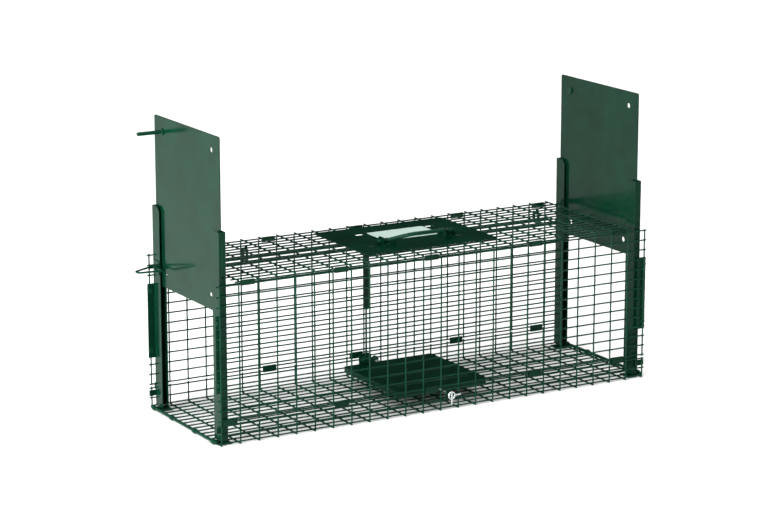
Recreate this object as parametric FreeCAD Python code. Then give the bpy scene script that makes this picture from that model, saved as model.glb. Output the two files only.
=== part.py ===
import FreeCAD, Part
import math
import os
from FreeCAD import Vector as V

# Live catch trap, two drop doors. Millimetres, +X towards the right-hand door, +Y away from the near wall,
# +Z up, origin on the ground under the middle. Stored set: both doors up, treadle level, handle folded.
NEAR = -1
FAR = 1
LEFT = -1
RIGHT = 1

# Welded mesh: two layers of round wire, sunk a little into each other at every weld.
WIRE_R = 1.0
WELD_SINK = 0.15
LAYER = 2 * WIRE_R - WELD_SINK
CELL_X = 25.4
CELL_S = 12.7
CELLS_LONG = 24
CELLS_WIDE = 15
WALL_ROWS = 13
TRAY_ROW_Z = (13.0, 25.4)
SEAM_GAP = 5.1
STUB = 4.0
SHORT_STUB = 1.9
ROOF_GAP = 3.4
FLOOR_END = 1.4
ROOF_STUB = 0.5
OVER = 1.0
HALF_L = CELLS_LONG * CELL_X / 2
WALL_Y = CELLS_WIDE * CELL_S / 2
UPRIGHT_Y = WALL_Y + LAYER
WALL_LOW_Z = TRAY_ROW_Z[-1] + SEAM_GAP
WALL_TOP_Z = WALL_LOW_Z + WALL_ROWS * CELL_S
FLOOR_CROSS_Z = WIRE_R
FLOOR_LONG_Z = FLOOR_CROSS_Z + LAYER
FLOOR_TOP_Z = FLOOR_LONG_Z + WIRE_R
TOP_LONG_Z = WALL_TOP_Z + ROOF_GAP
TOP_CROSS_Z = TOP_LONG_Z + LAYER
ROOF_UNDER_Z = TOP_LONG_Z - WIRE_R
ROOF_OVER_Z = TOP_CROSS_Z + WIRE_R
TOP_CELLS = 22

# Rolled clips that join the panels, by mesh cell counted from the left end.
CLIP_L = 18.0
CLIP_T = 0.8
CLIP_ROUND = 0.1
TOP_CLIP_CELLS = (1, 6, 11, 17, 22)
SEAM_CLIP_CELLS = (0, 6, 11, 17, 22)

# End bars under the doorways.
BAR_R = 2.0
BAR_Z = 3.4
BAR_HALF = 90.0
BAR_X = HALF_L + FLOOR_END + BAR_R
COLLAR_R = 3.2
COLLAR_L = 5.0
COLLAR_Y = (-82.55, -31.75, 31.75, 82.55)

# Door guides, their brackets and feet.
GUIDE_X = 297.5
GUIDE_OUT = 91.2
GUIDE_DEPTH = 19.0
GUIDE_T = 1.0
GUIDE_SLOT = 7.0
GUIDE_TOP = 260.0
GUIDE_BEVEL = 5.0
SPOT_R = 1.3
SPOT_Z = (28.0, 97.0, 125.0, 205.0)
FLANGE_X = GUIDE_SLOT / 2 + GUIDE_T
BRACKET_T = 1.2
BRACKET_REACH = 309.5
BRACKET_Z = (65.0, 160.0)
STRAP_Z = (15.8, 23.3)
RIVET_X = 305.7
RIVET_Z = (74.95, 151.15)
RIVET_SHANK_R = 1.6
RIVET_HEAD_R = 3.4
RIVET_HEAD_T = 1.2
FOOT_X = (288.0, 302.0)
FOOT_Y = (72.0, 92.0)

# Doors, stored raised.
DOOR_T = 1.2
DOOR_HALF_W = 88.0
DOOR_LOW = 160.0
DOOR_H = 213.0
DOOR_CORNER_R = 3.0
DOOR_HOLE_R = 3.25
LOW_HOLE = (60.5, 18.0)
HIGH_HOLE = (66.5, 194.5)
DOOR_FACE = GUIDE_X + DOOR_T / 2
DOOR_BACK = GUIDE_X - DOOR_T / 2
PIN_R = 2.4
PIN_REACH = 34.0
PIN_HEAD_R = 4.5
PIN_HEAD_T = 1.6

# Door latches.
LATCH_X = 305.2
LATCH_Z = 184.0
LATCH_R = 1.25
LATCH_LOOP = ((305.2, 85.6), (333.0, 73.2), (335.6, 71.4), (336.2, 68.6), (336.0, 65.4), (334.6, 63.2),
              (331.6, 62.2), (305.2, 56.6))
KNUCKLE_Y = (74.5, 81.5)
KNUCKLE_R = 3.0
KNUCKLE_BORE = 1.65
LEAF_Y = (73.5, 88.0)
LEAF_Z = (174.0, 192.0)
LEAF_T = 1.2
REST_Y = (84.2, 88.0)
REST_X = 312.0
REST_Z = (181.1, 182.3)

# Handle plate on the roof.
PLATE_X = (-87.0, 103.0)
PLATE_Y = (-64.0, 74.0)
PLATE_T = 1.2
PLATE_CORNER_R = 5.0
PLATE_TOP = ROOF_OVER_Z + PLATE_T
WINDOWS = ((-40.0, 34.0), (62.0, 34.0), (-63.0, -29.5), (67.0, -29.5))
WINDOW_X = 12.0
WINDOW_Y = 9.0
TONGUE_X = 6.0
TONGUE_T = 1.0
LABEL_X = (-29.0, 53.0)
LABEL_Y = (-8.0, 40.0)
LABEL_T = 0.4
LABEL_CORNER_R = 4.0

# Folding handle and its lugs.
HANDLE_X = 8.0
HANDLE_Y = -24.0
HANDLE_Z = 207.2
HANDLE_R = 2.5
HANDLE_FOOT = 46.0
HANDLE_PIN = 57.0
HANDLE_GRIP = 26.0
HANDLE_LEN = 30.0
HANDLE_LEAN = 22.0
HANDLE_BEND = 4.0
HANDLE_KNEE = 1.2
LUG_X = (36.0, 52.0)
LUG_HALF_Y = 10.6
LUG_T = 1.2
LUG_EYE_X = 50.6
LUG_EYE_HALF = 7.0
LUG_EYE_ROUND = 4.0
LUG_TOP_Z = 212.7
LUG_BORE = 2.9
LUG_STOP_X = (36.0, 43.5)
LUG_STOP_Z = 207.9
LUG_RIVET_R = 2.4
LUG_RIVET_X = 45.0
LUG_RIVET_Y = 5.6
LUG_RIVET_T = 0.9

# Trigger linkage, one plane behind the other in Y.
TRIG_Y = 60.5
TAB_T = 2.4
TAB_ROUND = 0.6
TAB_SUNK = 0.6
ROCKER_X = -7.0
ROCKER_Z = 181.0
ROCKER_ARM = 10.0
ROCKER_LEVER = 7.0
ROCKER_Y = (62.6, 64.1)
ROCKER_PAD = 2.52
ROCKER_ROUND = 2.0
ROCKER_SHAFT_R = 2.0
ROCKER_SHAFT_Y = (53.2, 72.6)
CRANK_PIN_R = 1.2
ROD_PIN_Y = 58.0
LINK_Y = 66.3
LINK_PIN_Y = 68.4
LINK_X = ROCKER_X - ROCKER_LEVER
LINK_BAR_W = 8.0
LINK_BAR_ROUND = 3.0
LINK_SLOT_ROUND = 1.1
LINK_BAR_Z = (96.0, 186.0)
LINK_WIRE_R = 1.2
LINK_EYE_Z = 30.0
LINK_EYE_HALF = 4.2
LINK_EYE_WIDE = 5.4
LINK_SLOT_HIGH = (3.0, 1.8)
LINK_SLOT_LOW = (3.4, 1.75)
ROD_R = 1.5
ROD_SLOT = (1.9, 3.2)
ROD_TAB = (4.0, 5.0)
ROD_LEAD = 12.0
ROD_SUNK = 0.5
ROD_KNEE_X = (258.0, 272.0)
ROD_RUN_Z = 187.0
ROD_TIP_GAP = 0.6
ROD_TIP_Z = DOOR_LOW + LOW_HOLE[1]
ROD_TIP_X = DOOR_BACK - ROD_TIP_GAP
HANGERS_X = (-190.5, 241.3)
HANGER_HALF_Y = 6.5
HANGER_LOW = 182.7
HANGER_BAR = 2.5
HANGER_T = 3.0
CHEEK_Y = (55.0, 69.6)
CHEEK_T = 1.2
CHEEK_X = (-17.0, 3.0)
CHEEK_LOW = 174.0
CHEEK_BORE = 2.4
HOOK_X = (-17.0, -6.0)
HOOK_WIRES_Y = (57.15, 69.85)
HOOK_GAP = 0.2
HOOK_TOP = ROOF_OVER_Z - 0.6
COLLAR_GAP = 0.4

# Treadle see-saw.
AXLE_X = 14.0
AXLE_Z = 18.5
AXLE_R = 2.0
AXLE_HALF = 101.1
RING_R = 4.4
RING_WIRE_R = 1.1
TAIL_OUT = 13.0
TAIL_DOWN = 12.0
BUSH_R = 5.6
BUSH_T = 1.6
BUSH_GAP = 0.05
TREADLE_X = (-46.0, 86.0)
TREADLE_Y = (-68.0, 70.0)
TREADLE_TOP = 23.2
TREADLE_T = 1.2
TREADLE_LIP = 7.2
TREADLE_CORNER_R = 4.0
BEAD_R = 3.0
BEAD_RISE = 0.9
BEAD_Y = (-44.0, 0.0, 44.0)
BEAD_END = 14.0
BEAD_SUNK = 0.4
LUG_BELOW_Y = 57.0
LUG_BELOW_HALF = 8.0
LUG_BELOW_Z = 12.7
LUG_BELOW_T = 1.2
AXLE_NOTCH = 0.4
TREADLE_BORE = 2.4
EAR_HALF = 9.0
EAR_TOP = 37.0
EAR_ROUND = 4.0
EAR_PIN_OUT = 0.6
STOP_X = (66.0, 78.0)
STOP_Z = 21.6
STOP_Y = 6.35


def box(x0, x1, y0, y1, z0, z1):
    low = V(min(x0, x1), min(y0, y1), min(z0, z1))
    return Part.makeBox(abs(x1 - x0), abs(y1 - y0), abs(z1 - z0), low)


def rod(start, end, radius):
    a = V(*start)
    way = V(*end).sub(a)
    return Part.makeCylinder(radius, way.Length, a, way)


def bent_wire(points, radius):
    runs = [rod(a, b, radius) for a, b in zip(points, points[1:])]
    bends = [Part.makeSphere(radius, V(*p)) for p in points[1:-1]]
    return runs[0].multiFuse(runs[1:] + bends).removeSplitter()


def round_corners(solid, way, radius):
    edges = []
    for edge in solid.Edges:
        along = edge.tangentAt(edge.FirstParameter)
        if abs(abs(along.dot(way)) - 1) < 1e-6:
            edges.append(edge)
    return solid.makeFillet(radius, edges)


def mirror_x(shape):
    return shape.mirror(V(0, 0, 0), V(1, 0, 0))


def mirror_y(shape):
    return shape.mirror(V(0, 0, 0), V(0, 1, 0))


def at_corners(shape):
    right_far = [shape, mirror_x(shape)]
    return Part.makeCompound(right_far + [mirror_y(s) for s in right_far])


def save(name, shape):
    shape.exportStep("parts/" + name + ".step")


# Mesh panels.

def weld(wires):
    return wires[0].multiFuse(wires[1:])


def wall_panel(side):
    end = HALF_L + STUB
    wires = []
    for row in range(WALL_ROWS + 1):
        z = WALL_LOW_Z + row * CELL_S
        wires.append(rod((-end, side * WALL_Y, z), (end, side * WALL_Y, z), WIRE_R))
    for k in range(CELLS_LONG + 1):
        x = -HALF_L + k * CELL_X
        low = (x, side * UPRIGHT_Y, WALL_LOW_Z - SHORT_STUB)
        high = (x, side * UPRIGHT_Y, WALL_TOP_Z + SHORT_STUB)
        wires.append(rod(low, high, WIRE_R))
    return weld(wires)


def tray_side(side):
    end = HALF_L + STUB
    wires = [rod((-end, side * WALL_Y, z), (end, side * WALL_Y, z), WIRE_R) for z in TRAY_ROW_Z]
    for k in range(CELLS_LONG + 1):
        x = -HALF_L + k * CELL_X
        low = (x, side * UPRIGHT_Y, FLOOR_CROSS_Z + WIRE_R)
        high = (x, side * UPRIGHT_Y, TRAY_ROW_Z[-1] + SHORT_STUB)
        wires.append(rod(low, high, WIRE_R))
    return weld(wires)


def flat_panel(cells, end, long_z, cross_z, cross_end):
    wires = []
    for row in range(CELLS_WIDE + 1):
        y = -WALL_Y + row * CELL_S
        wires.append(rod((-end, y, long_z), (end, y, long_z), WIRE_R))
    for k in range(cells + 1):
        x = (k - cells / 2) * CELL_X
        wires.append(rod((x, -cross_end, cross_z), (x, cross_end, cross_z), WIRE_R))
    return weld(wires)


def clip(cell, side, low_z, high_z):
    mid = -HALF_L + (cell + 0.5) * CELL_X
    grow = WIRE_R + CLIP_T
    y = side * WALL_Y
    outer = box(mid - CLIP_L / 2, mid + CLIP_L / 2, y - grow, y + grow, low_z - grow, high_z + grow)
    outer = round_corners(outer, V(1, 0, 0), grow - CLIP_ROUND)
    inner = box(mid - CLIP_L, mid + CLIP_L, y - WIRE_R, y + WIRE_R, low_z - WIRE_R, high_z + WIRE_R)
    return outer.cut(round_corners(inner, V(1, 0, 0), WIRE_R - CLIP_ROUND))


def clip_row(cells, side, low_z, high_z):
    return Part.makeCompound([clip(cell, side, low_z, high_z) for cell in cells])


def end_bar(end):
    return rod((end * BAR_X, -BAR_HALF, BAR_Z), (end * BAR_X, BAR_HALF, BAR_Z), BAR_R)


def bar_collars(end):
    collars = []
    for y in COLLAR_Y:
        low = (end * BAR_X, y - COLLAR_L / 2, BAR_Z)
        high = (end * BAR_X, y + COLLAR_L / 2, BAR_Z)
        around = rod(low, high, COLLAR_R)
        wire = rod((end * HALF_L, y, FLOOR_LONG_Z), (end * BAR_X, y, FLOOR_LONG_Z), WIRE_R)
        collars.append(around.cut(rod(low, high, BAR_R)).cut(wire))
    return Part.makeCompound(collars)


# Door guides, built at the right far corner.

def guide():
    inner_y = GUIDE_OUT - GUIDE_DEPTH
    whole = box(GUIDE_X - FLANGE_X, GUIDE_X + FLANGE_X, inner_y, GUIDE_OUT, FLOOR_TOP_Z, GUIDE_TOP)
    slot = GUIDE_SLOT / 2
    hollow = box(GUIDE_X - slot, GUIDE_X + slot, inner_y, GUIDE_OUT - GUIDE_T, FLOOR_TOP_Z, GUIDE_TOP)
    channel = whole.cut(hollow)
    a = V(GUIDE_X - FLANGE_X, inner_y, GUIDE_TOP)
    b = V(GUIDE_X - FLANGE_X, inner_y + GUIDE_BEVEL, GUIDE_TOP)
    c = V(GUIDE_X - FLANGE_X, inner_y, GUIDE_TOP - GUIDE_BEVEL)
    wedge = Part.Face(Part.makePolygon([a, b, c, a])).extrude(V(2 * FLANGE_X, 0, 0))
    channel = channel.cut(wedge)
    inside = GUIDE_OUT - 2 * GUIDE_T
    holes = [rod((GUIDE_X, inside, z), (GUIDE_X, GUIDE_OUT + OVER, z), SPOT_R) for z in SPOT_Z]
    return channel.cut(Part.makeCompound(holes))


def wall_bracket(z0, z1):
    wall = WALL_Y - WIRE_R
    edge = GUIDE_X - BRACKET_T / 2
    web = box(edge, edge + BRACKET_T, GUIDE_OUT, wall, z0, z1)
    flange = box(edge, BRACKET_REACH, wall - BRACKET_T, wall, z0, z1)
    return web.fuse(flange).removeSplitter()


def guide_bracket():
    holes = [rod((RIVET_X, GUIDE_OUT, z), (RIVET_X, WALL_Y, z), RIVET_SHANK_R) for z in RIVET_Z]
    return wall_bracket(*BRACKET_Z).cut(Part.makeCompound(holes))


def bracket_rivets():
    wall = WALL_Y - WIRE_R
    rivets = []
    for z in RIVET_Z:
        inside = wall - BRACKET_T
        shank = rod((RIVET_X, inside, z), (RIVET_X, wall, z), RIVET_SHANK_R)
        near = rod((RIVET_X, inside - RIVET_HEAD_T, z), (RIVET_X, inside, z), RIVET_HEAD_R)
        outer = rod((RIVET_X, wall, z), (RIVET_X, wall + RIVET_HEAD_T, z), RIVET_HEAD_R)
        rivets.append(near.multiFuse([shank, outer]).removeSplitter())
    return rivets


def foot_plate():
    return box(FOOT_X[0], FOOT_X[1], FOOT_Y[0], FOOT_Y[1], 0, FLOOR_CROSS_Z + WIRE_R - WELD_SINK)


# Doors, built at the right end.

def door():
    top = DOOR_LOW + DOOR_H
    sheet = box(DOOR_BACK, DOOR_FACE, -DOOR_HALF_W, DOOR_HALF_W, DOOR_LOW, top)
    sheet = round_corners(sheet, V(1, 0, 0), DOOR_CORNER_R)
    holes = []
    for side in (NEAR, FAR):
        for across, up in (LOW_HOLE, HIGH_HOLE):
            is_pin = side == FAR and up == HIGH_HOLE[1]
            radius = PIN_R if is_pin else DOOR_HOLE_R
            y = side * across
            z = DOOR_LOW + up
            holes.append(rod((DOOR_BACK - OVER, y, z), (DOOR_FACE + OVER, y, z), radius))
    return sheet.cut(Part.makeCompound(holes))


def lift_pin():
    y = HIGH_HOLE[0]
    z = DOOR_LOW + HIGH_HOLE[1]
    tip = DOOR_FACE + PIN_REACH - PIN_R
    shank = rod((DOOR_BACK, y, z), (tip, y, z), PIN_R)
    dome = Part.makeSphere(PIN_R, V(tip, y, z))
    head = rod((DOOR_BACK - PIN_HEAD_T, y, z), (DOOR_BACK, y, z), PIN_HEAD_R)
    washer = rod((DOOR_FACE, y, z), (DOOR_FACE + PIN_HEAD_T, y, z), PIN_HEAD_R)
    return shank.multiFuse([dome, head, washer]).removeSplitter()


def latch_loop():
    pivot = rod((LATCH_X, LATCH_LOOP[-1][1], LATCH_Z), (LATCH_X, LATCH_LOOP[0][1], LATCH_Z), LATCH_R)
    points = [(x, y, LATCH_Z) for x, y in LATCH_LOOP]
    corners = [Part.makeSphere(LATCH_R, V(*points[0])), Part.makeSphere(LATCH_R, V(*points[-1]))]
    return bent_wire(points, LATCH_R).multiFuse([pivot] + corners).removeSplitter()


def latch_clip():
    flange = GUIDE_X + FLANGE_X
    leaf = box(flange, flange + LEAF_T, LEAF_Y[0], LEAF_Y[1], LEAF_Z[0], LEAF_Z[1])
    low = (LATCH_X, KNUCKLE_Y[0], LATCH_Z)
    high = (LATCH_X, KNUCKLE_Y[1], LATCH_Z)
    rest = box(flange, REST_X, REST_Y[0], REST_Y[1], REST_Z[0], REST_Z[1])
    body = leaf.multiFuse([rod(low, high, KNUCKLE_R), rest])
    return body.cut(rod(low, high, KNUCKLE_BORE)).removeSplitter()


# Roof plate and handle.

def handle_plate():
    sheet = box(PLATE_X[0], PLATE_X[1], PLATE_Y[0], PLATE_Y[1], ROOF_OVER_Z, PLATE_TOP)
    sheet = round_corners(sheet, V(0, 0, 1), PLATE_CORNER_R)
    cuts = []
    for x, y in WINDOWS:
        half = WINDOW_X / 2
        cuts.append(box(x - half, x + half, y, y + WINDOW_Y, ROOF_OVER_Z - OVER, PLATE_TOP + OVER))
    return sheet.cut(Part.makeCompound(cuts))


def plate_tongues():
    tongues = []
    for x, y in WINDOWS:
        half = TONGUE_X / 2
        foot_z = ROOF_UNDER_Z - TONGUE_T
        upright = box(x - half, x + half, y - TONGUE_T, y, foot_z, ROOF_OVER_Z)
        foot = box(x - half, x + half, y - 4 * TONGUE_T, y, foot_z, ROOF_UNDER_Z)
        tongues.append(upright.fuse(foot).removeSplitter())
    return Part.makeCompound(tongues)


def label_plate():
    plate = box(LABEL_X[0], LABEL_X[1], LABEL_Y[0], LABEL_Y[1], PLATE_TOP, PLATE_TOP + LABEL_T)
    return round_corners(plate, V(0, 0, 1), LABEL_CORNER_R)


def handle_lug(end):
    y0 = HANDLE_Y - LUG_HALF_Y
    y1 = HANDLE_Y + LUG_HALF_Y
    base = box(LUG_X[0], LUG_X[1], y0, y1, PLATE_TOP, PLATE_TOP + LUG_T)
    eye_y0 = HANDLE_Y - LUG_EYE_HALF
    eye_y1 = HANDLE_Y + LUG_EYE_HALF
    eye = box(LUG_EYE_X, LUG_X[1], eye_y0, eye_y1, PLATE_TOP, LUG_TOP_Z)
    eye = round_corners(eye, V(1, 0, 0), LUG_EYE_ROUND)
    eye = eye.fuse(box(LUG_EYE_X, LUG_X[1], eye_y0, eye_y1, PLATE_TOP, HANDLE_Z))
    stops = [box(LUG_STOP_X[0], LUG_STOP_X[1], y0, y0 + LUG_T, PLATE_TOP, LUG_STOP_Z)]
    stops.append(box(LUG_STOP_X[0], LUG_STOP_X[1], y1 - LUG_T, y1, PLATE_TOP, LUG_STOP_Z))
    lug = base.multiFuse([eye] + stops)
    lug = lug.cut(rod((LUG_X[0], HANDLE_Y, HANDLE_Z), (LUG_X[1] + OVER, HANDLE_Y, HANDLE_Z), LUG_BORE))
    lug = lug.removeSplitter()
    if end == LEFT:
        lug = mirror_x(lug)
    lug.translate(V(HANDLE_X, 0, 0))
    return lug


def lug_rivets():
    rivets = []
    for end in (LEFT, RIGHT):
        for side in (NEAR, FAR):
            x = HANDLE_X + end * LUG_RIVET_X
            y = HANDLE_Y + side * LUG_RIVET_Y
            low = PLATE_TOP + LUG_T
            rivets.append(rod((x, y, low), (x, y, low + LUG_RIVET_T), LUG_RIVET_R))
    return Part.makeCompound(rivets)


def handle():
    lean = math.radians(HANDLE_LEAN)

    def at(x, reach):
        return (HANDLE_X + x, HANDLE_Y - reach * math.cos(lean), HANDLE_Z + reach * math.sin(lean))

    near_bend = HANDLE_LEN - HANDLE_KNEE
    slope = (HANDLE_FOOT - HANDLE_GRIP) / HANDLE_LEN
    half = [(HANDLE_PIN, 0), (HANDLE_FOOT, 0), (HANDLE_GRIP + slope * HANDLE_BEND, HANDLE_LEN - HANDLE_BEND)]
    half.append((HANDLE_GRIP, near_bend))
    half.append((HANDLE_GRIP - HANDLE_BEND, HANDLE_LEN))
    points = [at(-x, r) for x, r in half] + [at(x, r) for x, r in reversed(half)]
    return bent_wire(points, HANDLE_R)


# Trigger linkage.

def slotted_tab(x, z, half_x, half_z, slot, y_mid):
    y0 = y_mid - TAB_T / 2
    y1 = y_mid + TAB_T / 2
    tab = box(x - half_x, x + half_x, y0, y1, z - half_z, z + half_z)
    tab = round_corners(tab, V(0, 1, 0), min(half_x, half_z) * TAB_ROUND)
    hole = box(x - slot[0], x + slot[0], y0 - OVER, y1 + OVER, z - slot[1], z + slot[1])
    return tab.cut(round_corners(hole, V(0, 1, 0), min(slot) * TAB_ROUND))


def rocker():
    mid = (ROCKER_X, ROCKER_Z)
    plates = []
    ends = [(ROCKER_X, ROCKER_Z + ROCKER_ARM), (ROCKER_X, ROCKER_Z - ROCKER_ARM), (LINK_X, ROCKER_Z)]
    for x, z in ends:
        x0 = min(x, mid[0]) - ROCKER_PAD
        x1 = max(x, mid[0]) + ROCKER_PAD
        z0 = min(z, mid[1]) - ROCKER_PAD
        z1 = max(z, mid[1]) + ROCKER_PAD
        plates.append(round_corners(box(x0, x1, ROCKER_Y[0], ROCKER_Y[1], z0, z1), V(0, 1, 0), ROCKER_ROUND))
    for x, z in ends[:2]:
        plates.append(rod((x, ROD_PIN_Y, z), (x, ROCKER_Y[0], z), CRANK_PIN_R))
    plates.append(rod((LINK_X, ROCKER_Y[1], ROCKER_Z), (LINK_X, LINK_PIN_Y, ROCKER_Z), CRANK_PIN_R))
    return plates[0].multiFuse(plates[1:]).cut(rocker_shaft()).removeSplitter()


def rocker_shaft():
    low = (ROCKER_X, ROCKER_SHAFT_Y[0], ROCKER_Z)
    high = (ROCKER_X, ROCKER_SHAFT_Y[1], ROCKER_Z)
    return rod(low, high, ROCKER_SHAFT_R)


def rocker_bracket():
    roof = box(CHEEK_X[0], CHEEK_X[1], CHEEK_Y[0], CHEEK_Y[1] + CHEEK_T, ROOF_UNDER_Z - CHEEK_T, ROOF_UNDER_Z)
    parts = []
    for y in CHEEK_Y:
        parts.append(box(CHEEK_X[0], CHEEK_X[1], y, y + CHEEK_T, CHEEK_LOW, ROOF_UNDER_Z))
    for y in HOOK_WIRES_Y:
        inner = y + math.copysign(WIRE_R + HOOK_GAP, LINK_Y - y)
        across = inner + math.copysign(TONGUE_T, LINK_Y - y)
        parts.append(box(HOOK_X[0], HOOK_X[1], inner, across, ROOF_UNDER_Z - CHEEK_T, HOOK_TOP))
        top = TOP_LONG_Z + WIRE_R
        parts.append(box(HOOK_X[0], HOOK_X[1], 2 * y - inner, across, top, HOOK_TOP))
    bracket = roof.multiFuse(parts)
    bore_end = CHEEK_Y[1] + CHEEK_T + OVER
    bore = rod((ROCKER_X, CHEEK_Y[0] - OVER, ROCKER_Z), (ROCKER_X, bore_end, ROCKER_Z), CHEEK_BORE)
    return bracket.cut(bore).removeSplitter()


def shaft_collars():
    collars = []
    near = (ROCKER_SHAFT_Y[0], CHEEK_Y[0] - COLLAR_GAP)
    far = (CHEEK_Y[1] + CHEEK_T + COLLAR_GAP, ROCKER_SHAFT_Y[1])
    for y0, y1 in (near, far):
        ring = rod((ROCKER_X, y0, ROCKER_Z), (ROCKER_X, y1, ROCKER_Z), 2 * ROCKER_SHAFT_R)
        collars.append(ring.cut(rocker_shaft()))
    return Part.makeCompound(collars)


def rod_hanger(x):
    low = HANGER_LOW
    y0 = TRIG_Y - HANGER_HALF_Y
    y1 = TRIG_Y + HANGER_HALF_Y
    frame = box(x - HANGER_T / 2, x + HANGER_T / 2, y0, y1, low, ROOF_UNDER_Z)
    window = box(x - HANGER_T, x + HANGER_T, y0 + HANGER_BAR, y1 - HANGER_BAR, low + HANGER_BAR,
                 ROOF_UNDER_Z - HANGER_BAR)
    wire_y = HOOK_WIRES_Y[0]
    inner = wire_y + WIRE_R + HOOK_GAP
    hook = box(x - HANGER_T / 2, x + HANGER_T / 2, inner, inner + TONGUE_T, ROOF_UNDER_Z, HOOK_TOP)
    over = box(x - HANGER_T / 2, x + HANGER_T / 2, wire_y - WIRE_R, inner + TONGUE_T, TOP_LONG_Z + WIRE_R,
               HOOK_TOP)
    return frame.cut(window).multiFuse([hook, over]).removeSplitter()


def trigger_rod(end):
    pin_z = ROCKER_Z + end * ROCKER_ARM
    tab = slotted_tab(ROCKER_X, pin_z, ROD_TAB[0], ROD_TAB[1], ROD_SLOT, TRIG_Y)
    start = ROCKER_X + end * (ROD_TAB[0] - ROD_SUNK)
    knee = abs(ROD_RUN_Z - pin_z)
    xs = [(start, pin_z), (start + end * ROD_LEAD, pin_z), (start + end * (ROD_LEAD + knee), ROD_RUN_Z)]
    xs += [(end * ROD_KNEE_X[0], ROD_RUN_Z), (end * ROD_KNEE_X[1], ROD_TIP_Z), (end * ROD_TIP_X, ROD_TIP_Z)]
    wire = bent_wire([(x, TRIG_Y, z) for x, z in xs], ROD_R)
    slot_keep = box(ROCKER_X - ROD_SLOT[0], ROCKER_X + ROD_SLOT[0], TRIG_Y - TAB_T, TRIG_Y + TAB_T,
                    pin_z - ROD_SLOT[1], pin_z + ROD_SLOT[1])
    return tab.fuse(wire.cut(slot_keep)).removeSplitter()


def link_bar():
    x0 = LINK_X - LINK_BAR_W / 2
    bar = box(x0, x0 + LINK_BAR_W, LINK_Y - TAB_T / 2, LINK_Y + TAB_T / 2, LINK_BAR_Z[0], LINK_BAR_Z[1])
    bar = round_corners(bar, V(0, 1, 0), LINK_BAR_ROUND)
    half_x, half_z = LINK_SLOT_HIGH
    hole = box(LINK_X - half_x, LINK_X + half_x, LINK_Y - TAB_T, LINK_Y + TAB_T,
               ROCKER_Z - half_z, ROCKER_Z + half_z)
    return bar.cut(round_corners(hole, V(0, 1, 0), LINK_SLOT_ROUND))


def link_wire():
    top = LINK_BAR_Z[0]
    eye = slotted_tab(LINK_X, LINK_EYE_Z, LINK_EYE_WIDE, LINK_EYE_HALF, LINK_SLOT_LOW, LINK_Y)
    wire = rod((LINK_X, LINK_Y, LINK_EYE_Z + LINK_EYE_HALF - TAB_SUNK), (LINK_X, LINK_Y, top), LINK_WIRE_R)
    return eye.fuse(wire).removeSplitter()


# Treadle.

def treadle_plate():
    low = TREADLE_TOP - TREADLE_LIP
    under = TREADLE_TOP - TREADLE_T
    t = TREADLE_T
    pan = box(TREADLE_X[0], TREADLE_X[1], TREADLE_Y[0], TREADLE_Y[1], low, TREADLE_TOP)
    pan = round_corners(pan, V(0, 0, 1), TREADLE_CORNER_R)
    inner = box(TREADLE_X[0] + t, TREADLE_X[1] - t, TREADLE_Y[0] + t, TREADLE_Y[1] - t, low, under)
    pan = pan.cut(round_corners(inner, V(0, 0, 1), TREADLE_CORNER_R - t))
    gap = TREADLE_BORE + AXLE_NOTCH
    notch = box(AXLE_X - gap, AXLE_X + gap, TREADLE_Y[0], TREADLE_Y[1], low, AXLE_Z + gap)
    beads = []
    for y in BEAD_Y:
        z = TREADLE_TOP + BEAD_RISE - BEAD_R
        run = rod((TREADLE_X[0] + BEAD_END, y, z), (TREADLE_X[1] - BEAD_END, y, z), BEAD_R)
        low_z = under + BEAD_SUNK
        half = box(TREADLE_X[0], TREADLE_X[1], y - BEAD_R, y + BEAD_R, low_z, TREADLE_TOP + BEAD_R)
        beads.append(run.common(half))
    return pan.cut(notch).multiFuse(beads).removeSplitter()


def treadle_lugs():
    lugs = []
    under = TREADLE_TOP - TREADLE_T
    for side in (NEAR, FAR):
        y = side * LUG_BELOW_Y
        half = LUG_BELOW_T / 2
        plate = box(AXLE_X - LUG_BELOW_HALF, AXLE_X + LUG_BELOW_HALF, y - half, y + half, LUG_BELOW_Z, under)
        lugs.append(plate.cut(rod((AXLE_X, y - OVER, AXLE_Z), (AXLE_X, y + OVER, AXLE_Z), TREADLE_BORE)))
    return Part.makeCompound(lugs)


def treadle_ear():
    y1 = TREADLE_Y[1]
    y0 = y1 - TREADLE_T
    ear = box(LINK_X - EAR_HALF, LINK_X + EAR_HALF, y0, y1, TREADLE_TOP, EAR_TOP)
    ear = round_corners(ear, V(0, 1, 0), EAR_ROUND)
    ear = ear.fuse(box(LINK_X - EAR_HALF, LINK_X + EAR_HALF, y0, y1, TREADLE_TOP, LINK_EYE_Z))
    pin = rod((LINK_X, LINK_Y - TAB_T / 2 - EAR_PIN_OUT, LINK_EYE_Z), (LINK_X, y0, LINK_EYE_Z), CRANK_PIN_R)
    return ear.fuse(pin).removeSplitter()


def treadle_axle():
    return rod((AXLE_X, 2 * RING_WIRE_R - AXLE_HALF, AXLE_Z), (AXLE_X, AXLE_HALF, AXLE_Z), AXLE_R)


def axle_ring():
    y = RING_WIRE_R - AXLE_HALF
    ring = Part.makeTorus(RING_R, RING_WIRE_R, V(AXLE_X, y, AXLE_Z), V(0, 1, 0))
    out = rod((AXLE_X + RING_R, y, AXLE_Z), (AXLE_X + TAIL_OUT, y, AXLE_Z), RING_WIRE_R)
    down = rod((AXLE_X, y, AXLE_Z + RING_R), (AXLE_X, y, AXLE_Z - TAIL_DOWN), RING_WIRE_R)
    return ring.multiFuse([out, down]).removeSplitter()


def axle_bushes():
    bushes = []
    for side in (NEAR, FAR):
        y0 = side * (WALL_Y - WIRE_R - BUSH_GAP)
        y1 = y0 - side * BUSH_T
        bush = rod((AXLE_X, y0, AXLE_Z), (AXLE_X, y1, AXLE_Z), BUSH_R)
        bushes.append(bush.cut(treadle_axle()))
    return Part.makeCompound(bushes)


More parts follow.
